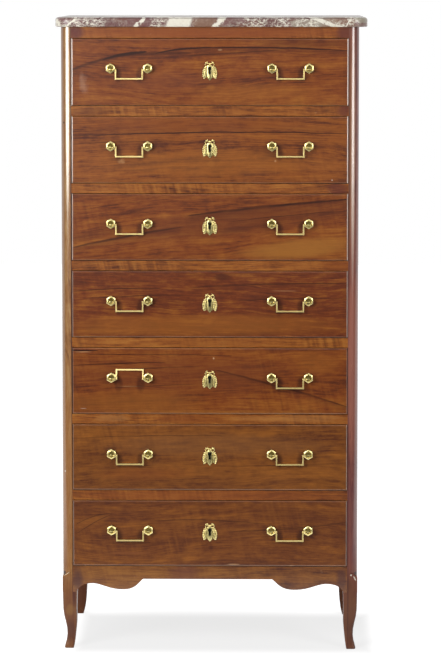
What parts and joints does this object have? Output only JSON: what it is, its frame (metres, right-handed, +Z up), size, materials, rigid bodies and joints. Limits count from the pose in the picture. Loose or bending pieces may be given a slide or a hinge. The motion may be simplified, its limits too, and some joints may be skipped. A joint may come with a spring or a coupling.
{
  "type": "semainier",
  "caption": "Tall narrow chest of equal drawers with round-cornered stiles, cabriole legs, scalloped apron, marble slab, swinging brass bail handles and keyhole plates.",
  "frame": {"origin": "on the floor under the middle of the whole piece, marble slab and handles included", "axes": "+X to the right of someone facing the drawers, +Y from the drawer fronts to the back, +Z up"},
  "size_m": [0.732, 0.4194, 1.5],
  "materials": {
    "show_wood": "worn French polish over figured reddish-brown wood",
    "inner_wood": "unfinished pale secondary wood, darkened with age",
    "marble": "polished brecciated marble in mauve, cream and olive",
    "brass": "cast brass, dulled in the hollows",
    "lock_iron": "dark blued iron"
  },
  "bodies": {
    "carcass": {"front_stile_left": "show_wood", "front_stile_right": "show_wood", "rear_stiles": "show_wood", "side_panels": "show_wood", "case_rails": "show_wood", "back_boards": "inner_wood", "drawer_rails": "show_wood", "runners": "inner_wood", "drawer_stops": "inner_wood", "apron": "show_wood", "marble_top": "marble"},
    "drawer_1": {"drawer_front_1": "show_wood", "drawer_box_1": "inner_wood", "brass_mounts_1": "brass", "lock_case_1": "lock_iron"},
    "drawer_2": {"drawer_front_2": "show_wood", "drawer_box_2": "inner_wood", "brass_mounts_2": "brass", "lock_case_2": "lock_iron"},
    "drawer_3": {"drawer_front_3": "show_wood", "drawer_box_3": "inner_wood", "brass_mounts_3": "brass", "lock_case_3": "lock_iron"},
    "drawer_4": {"drawer_front_4": "show_wood", "drawer_box_4": "inner_wood", "brass_mounts_4": "brass", "lock_case_4": "lock_iron"},
    "drawer_5": {"drawer_front_5": "show_wood", "drawer_box_5": "inner_wood", "brass_mounts_5": "brass", "lock_case_5": "lock_iron"},
    "drawer_6": {"drawer_front_6": "show_wood", "drawer_box_6": "inner_wood", "brass_mounts_6": "brass", "lock_case_6": "lock_iron"},
    "drawer_7": {"drawer_front_7": "show_wood", "drawer_box_7": "inner_wood", "brass_mounts_7": "brass", "lock_case_7": "lock_iron"},
    "bail_left_1": {"bail_left_1": "brass"},
    "bail_right_1": {"bail_right_1": "brass"},
    "lock_bolt_1": {"lock_bolt_1": "lock_iron"},
    "bail_left_2": {"bail_left_2": "brass"},
    "bail_right_2": {"bail_right_2": "brass"},
    "lock_bolt_2": {"lock_bolt_2": "lock_iron"},
    "bail_left_3": {"bail_left_3": "brass"},
    "bail_right_3": {"bail_right_3": "brass"},
    "lock_bolt_3": {"lock_bolt_3": "lock_iron"},
    "bail_left_4": {"bail_left_4": "brass"},
    "bail_right_4": {"bail_right_4": "brass"},
    "lock_bolt_4": {"lock_bolt_4": "lock_iron"},
    "bail_left_5": {"bail_left_5": "brass"},
    "bail_right_5": {"bail_right_5": "brass"},
    "lock_bolt_5": {"lock_bolt_5": "lock_iron"},
    "bail_left_6": {"bail_left_6": "brass"},
    "bail_right_6": {"bail_right_6": "brass"},
    "lock_bolt_6": {"lock_bolt_6": "lock_iron"},
    "bail_left_7": {"bail_left_7": "brass"},
    "bail_right_7": {"bail_right_7": "brass"},
    "lock_bolt_7": {"lock_bolt_7": "lock_iron"}
  },
  "joints": [
    {"name": "drawer_1_slide", "type": "slide", "parent": "carcass", "child": "drawer_1", "axis": [0, -1, 0], "range_m": [0, 0.3]},
    {"name": "drawer_2_slide", "type": "slide", "parent": "carcass", "child": "drawer_2", "axis": [0, -1, 0], "range_m": [0, 0.3]},
    {"name": "drawer_3_slide", "type": "slide", "parent": "carcass", "child": "drawer_3", "axis": [0, -1, 0], "range_m": [0, 0.3]},
    {"name": "drawer_4_slide", "type": "slide", "parent": "carcass", "child": "drawer_4", "axis": [0, -1, 0], "range_m": [0, 0.3]},
    {"name": "drawer_5_slide", "type": "slide", "parent": "carcass", "child": "drawer_5", "axis": [0, -1, 0], "range_m": [0, 0.3]},
    {"name": "drawer_6_slide", "type": "slide", "parent": "carcass", "child": "drawer_6", "axis": [0, -1, 0], "range_m": [0, 0.3]},
    {"name": "drawer_7_slide", "type": "slide", "parent": "carcass", "child": "drawer_7", "axis": [0, -1, 0], "range_m": [0, 0.3]},
    {"name": "bail_left_1_swing", "type": "hinge", "parent": "drawer_1", "child": "bail_left_1", "pos_m": [-0.1922, -0.20525, 1.3779], "axis": [-1, 0, 0], "range_deg": [-17, 197]},
    {"name": "bail_right_1_swing", "type": "hinge", "parent": "drawer_1", "child": "bail_right_1", "pos_m": [0.1858, -0.20525, 1.3779], "axis": [-1, 0, 0], "range_deg": [-17, 197]},
    {"name": "lock_bolt_1_throw", "type": "slide", "parent": "drawer_1", "child": "lock_bolt_1", "axis": [0, 0, 1], "range_m": [0, 0.007]},
    {"name": "bail_left_2_swing", "type": "hinge", "parent": "drawer_2", "child": "bail_left_2", "pos_m": [-0.1922, -0.20525, 1.1957], "axis": [-1, 0, 0], "range_deg": [-17, 197]},
    {"name": "bail_right_2_swing", "type": "hinge", "parent": "drawer_2", "child": "bail_right_2", "pos_m": [0.1858, -0.20525, 1.1957], "axis": [-1, 0, 0], "range_deg": [-17, 197]},
    {"name": "lock_bolt_2_throw", "type": "slide", "parent": "drawer_2", "child": "lock_bolt_2", "axis": [0, 0, 1], "range_m": [0, 0.007]},
    {"name": "bail_left_3_swing", "type": "hinge", "parent": "drawer_3", "child": "bail_left_3", "pos_m": [-0.1922, -0.20525, 1.0135], "axis": [-1, 0, 0], "range_deg": [-17, 197]},
    {"name": "bail_right_3_swing", "type": "hinge", "parent": "drawer_3", "child": "bail_right_3", "pos_m": [0.1858, -0.20525, 1.0135], "axis": [-1, 0, 0], "range_deg": [-17, 197]},
    {"name": "lock_bolt_3_throw", "type": "slide", "parent": "drawer_3", "child": "lock_bolt_3", "axis": [0, 0, 1], "range_m": [0, 0.007]},
    {"name": "bail_left_4_swing", "type": "hinge", "parent": "drawer_4", "child": "bail_left_4", "pos_m": [-0.1922, -0.20525, 0.8313], "axis": [-1, 0, 0], "range_deg": [-17, 197]},
    {"name": "bail_right_4_swing", "type": "hinge", "parent": "drawer_4", "child": "bail_right_4", "pos_m": [0.1858, -0.20525, 0.8313], "axis": [-1, 0, 0], "range_deg": [-17, 197]},
    {"name": "lock_bolt_4_throw", "type": "slide", "parent": "drawer_4", "child": "lock_bolt_4", "axis": [0, 0, 1], "range_m": [0, 0.007]},
    {"name": "bail_left_5_swing", "type": "hinge", "parent": "drawer_5", "child": "bail_left_5", "pos_m": [-0.1922, -0.20525, 0.6491], "axis": [-1, 0, 0], "range_deg": [-214, 0]},
    {"name": "bail_right_5_swing", "type": "hinge", "parent": "drawer_5", "child": "bail_right_5", "pos_m": [0.1858, -0.20525, 0.6491], "axis": [-1, 0, 0], "range_deg": [-17, 197]},
    {"name": "lock_bolt_5_throw", "type": "slide", "parent": "drawer_5", "child": "lock_bolt_5", "axis": [0, 0, 1], "range_m": [0, 0.007]},
    {"name": "bail_left_6_swing", "type": "hinge", "parent": "drawer_6", "child": "bail_left_6", "pos_m": [-0.1922, -0.20525, 0.4669], "axis": [-1, 0, 0], "range_deg": [-17, 197]},
    {"name": "bail_right_6_swing", "type": "hinge", "parent": "drawer_6", "child": "bail_right_6", "pos_m": [0.1858, -0.20525, 0.4669], "axis": [-1, 0, 0], "range_deg": [-17, 197]},
    {"name": "lock_bolt_6_throw", "type": "slide", "parent": "drawer_6", "child": "lock_bolt_6", "axis": [0, 0, 1], "range_m": [0, 0.007]},
    {"name": "bail_left_7_swing", "type": "hinge", "parent": "drawer_7", "child": "bail_left_7", "pos_m": [-0.1922, -0.20525, 0.2847], "axis": [-1, 0, 0], "range_deg": [-17, 197]},
    {"name": "bail_right_7_swing", "type": "hinge", "parent": "drawer_7", "child": "bail_right_7", "pos_m": [0.1858, -0.20525, 0.2847], "axis": [-1, 0, 0], "range_deg": [-17, 197]},
    {"name": "lock_bolt_7_throw", "type": "slide", "parent": "drawer_7", "child": "lock_bolt_7", "axis": [0, 0, 1], "range_m": [0, 0.007]}
  ]
}
